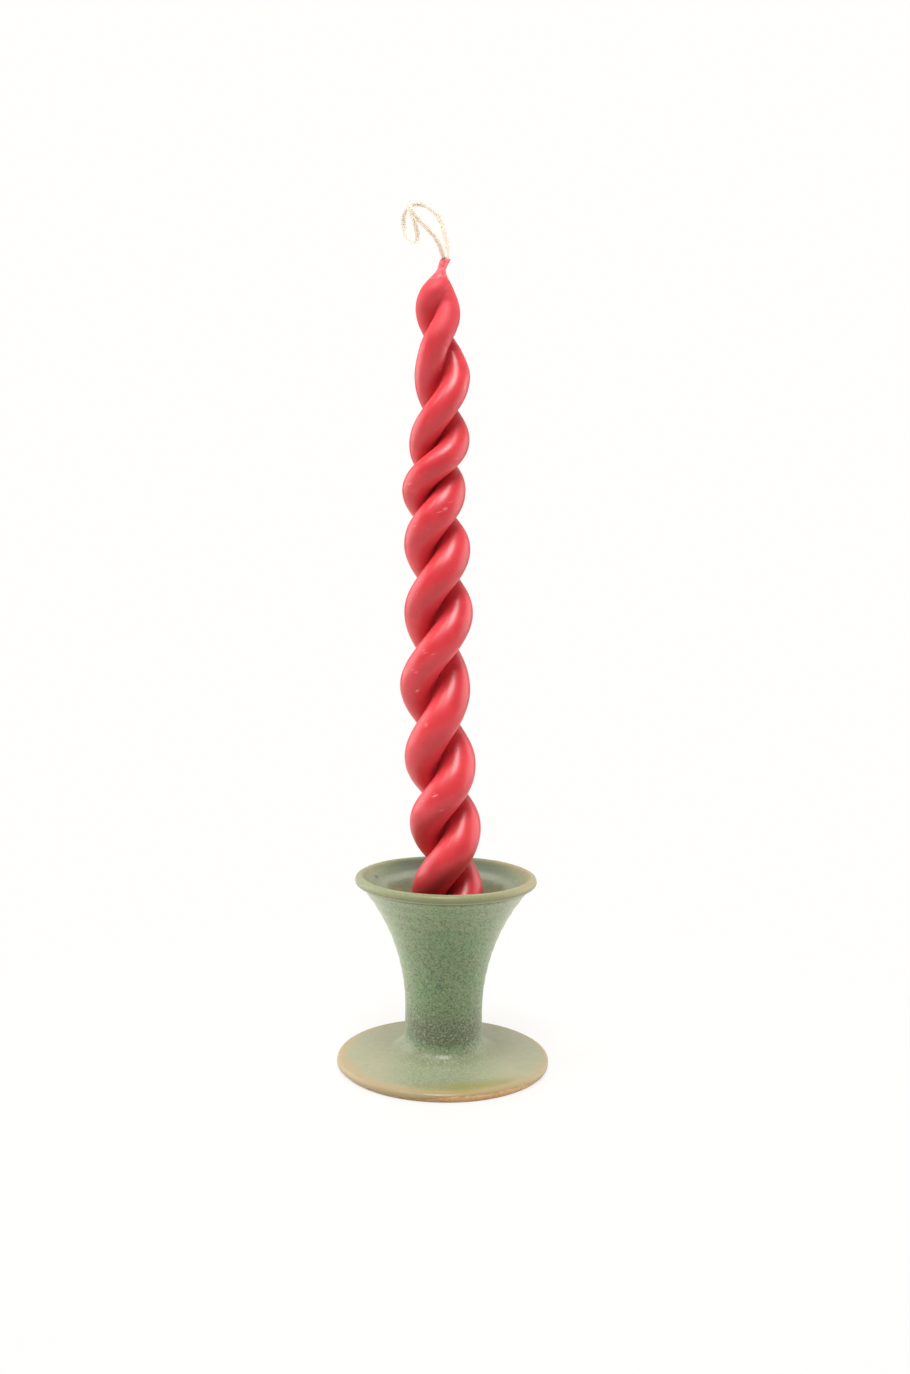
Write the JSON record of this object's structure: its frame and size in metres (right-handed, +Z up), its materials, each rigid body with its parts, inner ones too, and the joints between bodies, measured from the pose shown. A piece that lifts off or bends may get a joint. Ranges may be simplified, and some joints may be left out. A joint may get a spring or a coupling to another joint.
{
  "type": "twisted taper candle in a holder",
  "caption": "Dipped wax tapers twisted into a rope with a looped wick, standing in the socket of a flared, round-footed stoneware holder with a drip dish.",
  "frame": {"origin": "middle of the foot's underside, on the surface that the holder stands on", "axes": "+Z up along the holder's axis, -Y the front that the picture shows, +X to the right"},
  "size_m": [0.076, 0.076, 0.3038],
  "materials": {
    "glaze": "matte",
    "wax": "satin",
    "wick": "matte"
  },
  "bodies": {
    "holder": {"holder": "glaze"},
    "candle": {"taper_a": "wax", "taper_b": "wax", "wick_core_a": "wick", "wick_core_b": "wick", "wick_loop": "wick"}
  },
  "joints": [
    {"name": "candle_lift", "type": "slide", "parent": "holder", "child": "candle", "axis": [0, 0, 1], "range_m": [0, 0.045]}
  ]
}
